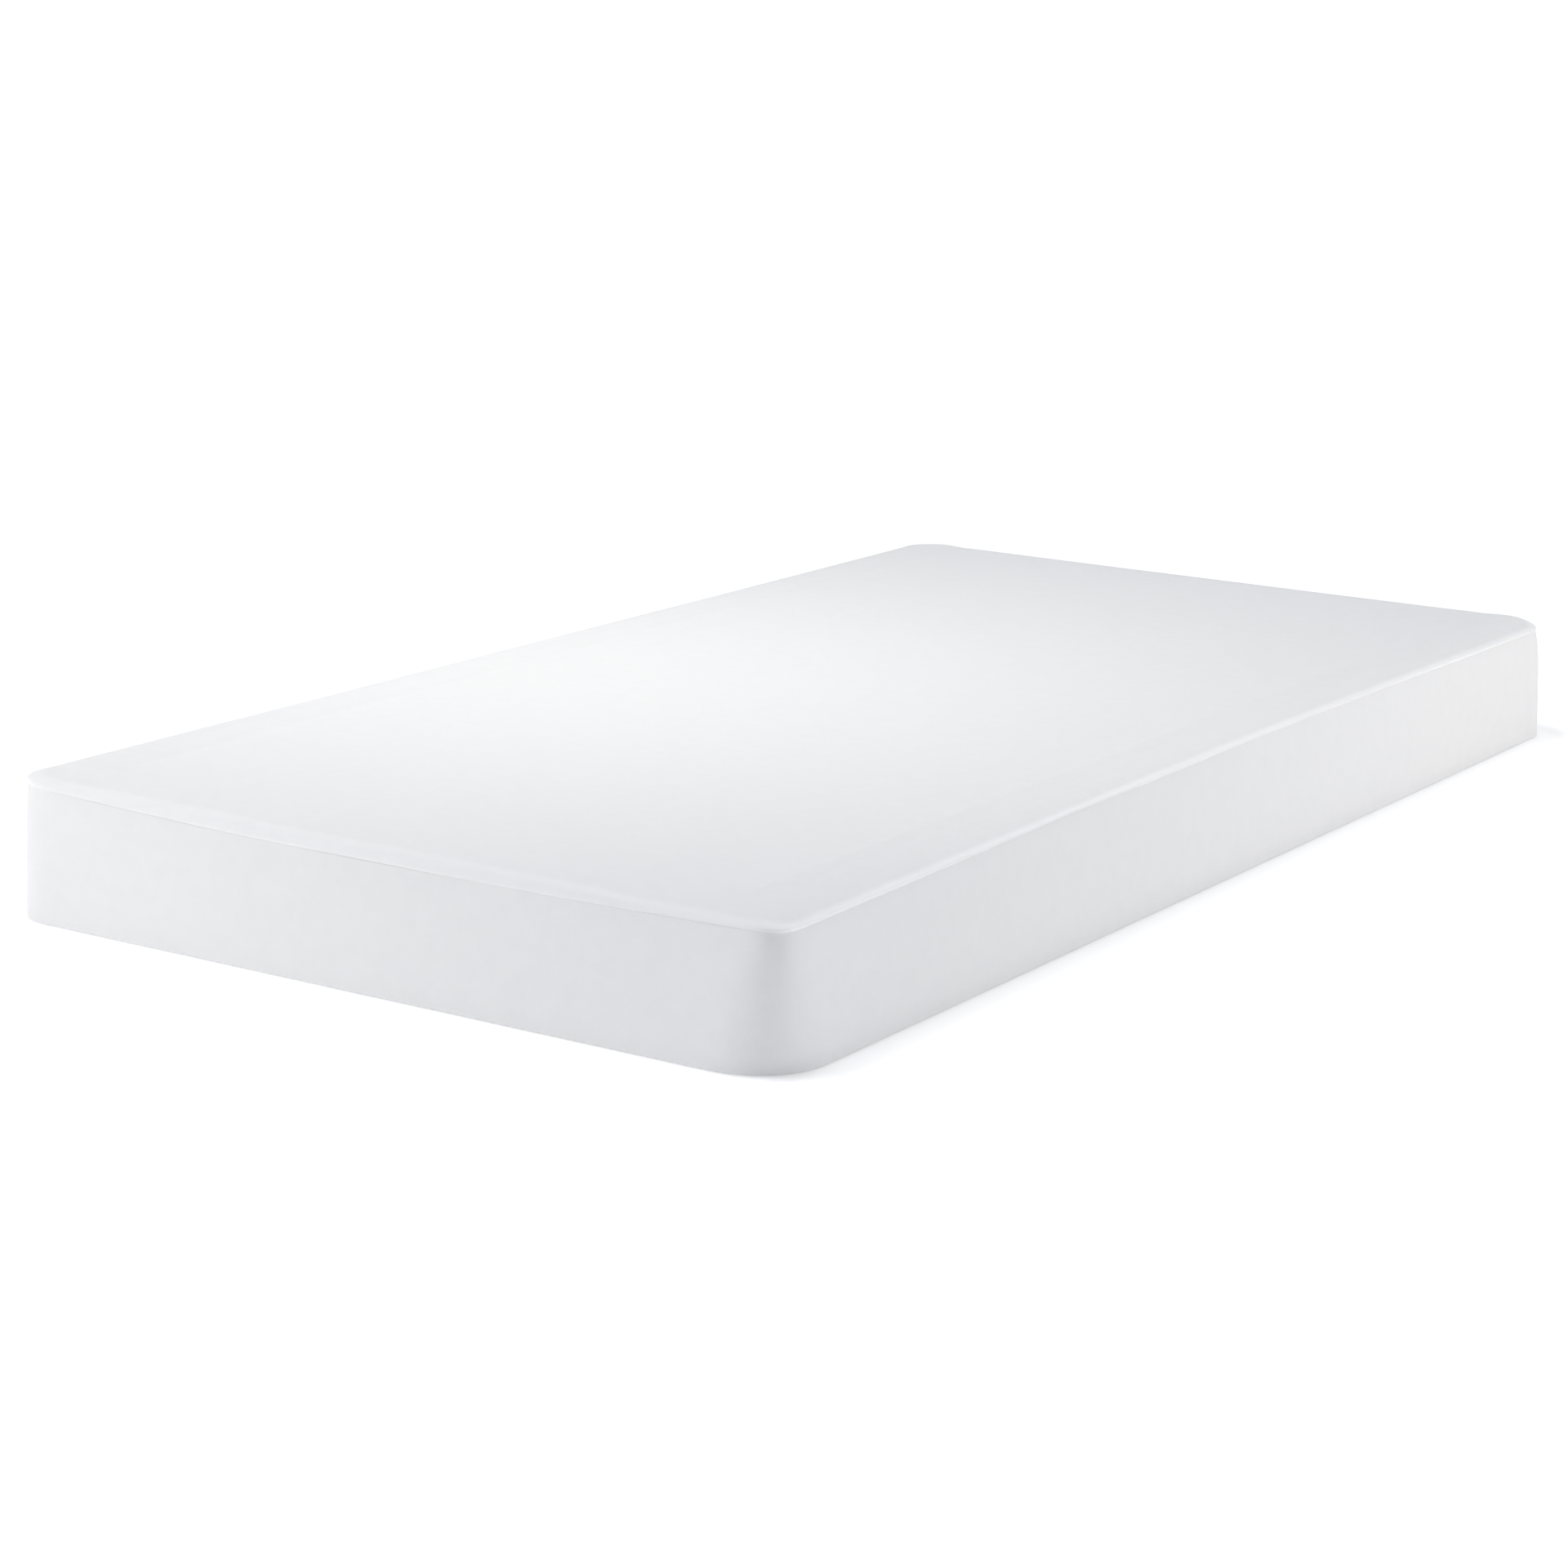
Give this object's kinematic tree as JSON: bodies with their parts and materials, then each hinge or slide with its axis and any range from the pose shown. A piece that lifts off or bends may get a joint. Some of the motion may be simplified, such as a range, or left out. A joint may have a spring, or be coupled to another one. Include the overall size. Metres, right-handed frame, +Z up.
{
  "type": "memory foam mattress",
  "caption": "Low twin mattress: a layered foam core in a fire sock, inside a smooth white knit cover with a zip across the head end.",
  "frame": {"origin": "middle of the underside, on the surface that the mattress rests on", "axes": "+X across the width, +Y along the length towards the head end with the zip, +Z up out of the sleeping surface"},
  "size_m": [0.9906, 1.9063, 0.16],
  "materials": {
    "cover_knit": "matte",
    "wadding": "matte",
    "grip_fabric": "matte",
    "sock_knit": "matte",
    "memory_foam": "matte",
    "transition_foam": "matte",
    "support_foam": "matte",
    "woven_tape": "matte",
    "nylon_coil": "satin",
    "zinc": "satin",
    "label_satin": "satin"
  },
  "bodies": {
    "mattress": {"support_foam": "support_foam", "transition_foam": "transition_foam", "memory_foam": "memory_foam", "fire_sock": "sock_knit", "fibre_pad": "wadding", "top_panel": "cover_knit", "top_seam_tape": "woven_tape", "side_border": "cover_knit", "head_border_upper": "cover_knit", "head_border_lower": "cover_knit", "bottom_panel": "grip_fabric", "bottom_seam_tape": "woven_tape", "zip_tape_upper": "woven_tape", "zip_tape_lower": "woven_tape", "zip_coil_upper": "nylon_coil", "zip_coil_lower": "nylon_coil", "zip_top_stop_upper": "zinc", "zip_top_stop_lower": "zinc", "zip_bottom_stop": "zinc", "care_label": "label_satin"},
    "zip_slider": {"zip_slider": "zinc"},
    "zip_pull": {"zip_pull": "zinc"}
  },
  "joints": [
    {"name": "zip_slide", "type": "slide", "parent": "mattress", "child": "zip_slider", "axis": [-1, 0, 0], "range_m": [0, 0.745]},
    {"name": "pull_hinge", "type": "hinge", "parent": "zip_slider", "child": "zip_pull", "pos_m": [0.3727, 0.95175, 0.035], "axis": [0, 0, -1], "range_deg": [0, 180]}
  ]
}
